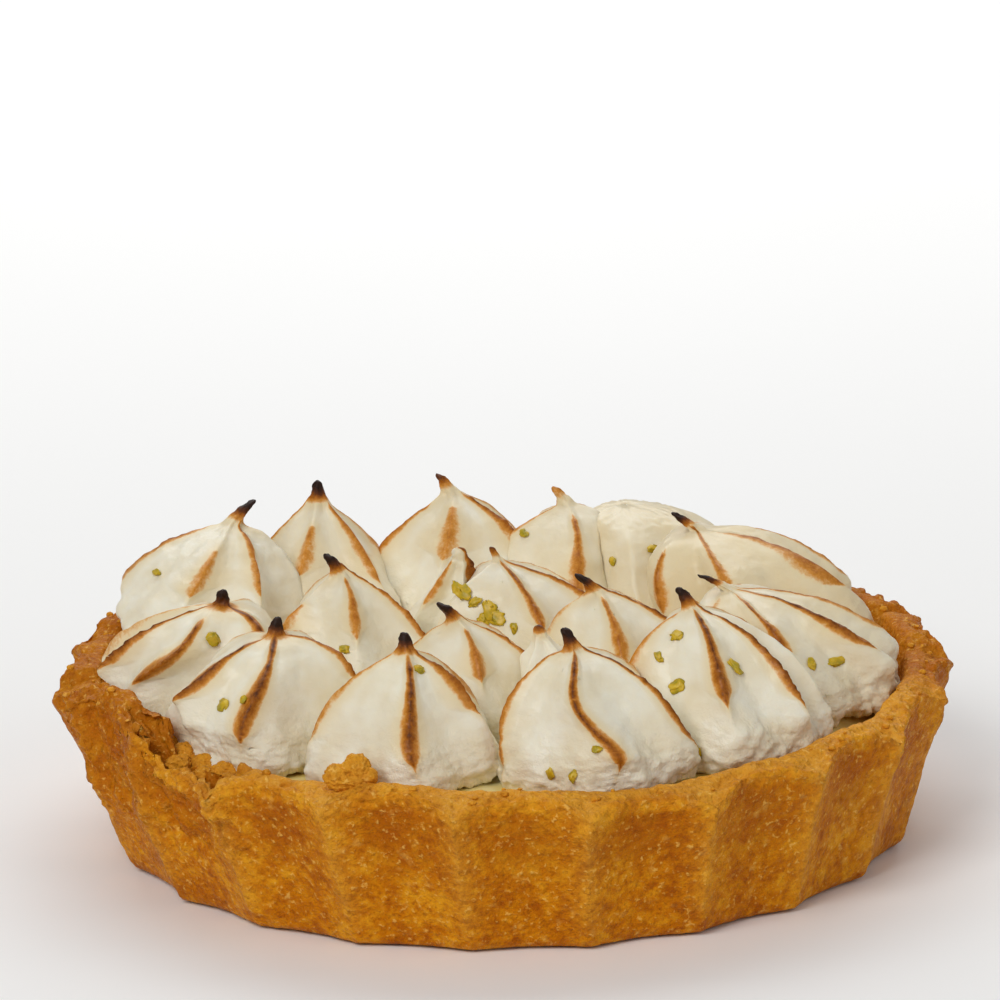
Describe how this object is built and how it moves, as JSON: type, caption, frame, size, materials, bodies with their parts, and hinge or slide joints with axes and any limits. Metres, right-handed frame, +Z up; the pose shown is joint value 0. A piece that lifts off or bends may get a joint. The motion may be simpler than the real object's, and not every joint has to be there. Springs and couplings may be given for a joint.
{
  "type": "lemon meringue tart",
  "caption": "Small round lemon meringue tart: a fluted shortcrust shell with lemon curd, topped with piped, torch-browned meringue kisses and scraps of zest.",
  "frame": {"origin": "centre of the flat underside of the crust", "axes": "+Z up through the meringue, -Y to the front of the tart"},
  "size_m": [0.0979, 0.0976, 0.0334],
  "materials": {
    "shortcrust": "matt, sandy golden-brown baked pastry",
    "lemon_curd": "smooth, softly glossy pale lemon curd",
    "meringue": "satin whipped meringue, browned along the ridges, with yellow-green scraps of zest"
  },
  "bodies": {
    "root": {"crust": "shortcrust", "filling": "lemon_curd", "kiss_front_left": "meringue", "kiss_front_right": "meringue", "kiss_right_front": "meringue", "kiss_right": "meringue", "kiss_right_back": "meringue", "kiss_back_right": "meringue", "kiss_back_mid": "meringue", "kiss_back": "meringue", "kiss_back_left": "meringue", "kiss_left_back": "meringue", "kiss_left": "meringue", "kiss_left_front": "meringue", "kiss_inner_left": "meringue", "kiss_inner_front": "meringue", "kiss_inner_right": "meringue", "kiss_inner_back": "meringue", "kiss_small": "meringue"}
  },
  "joints": []
}
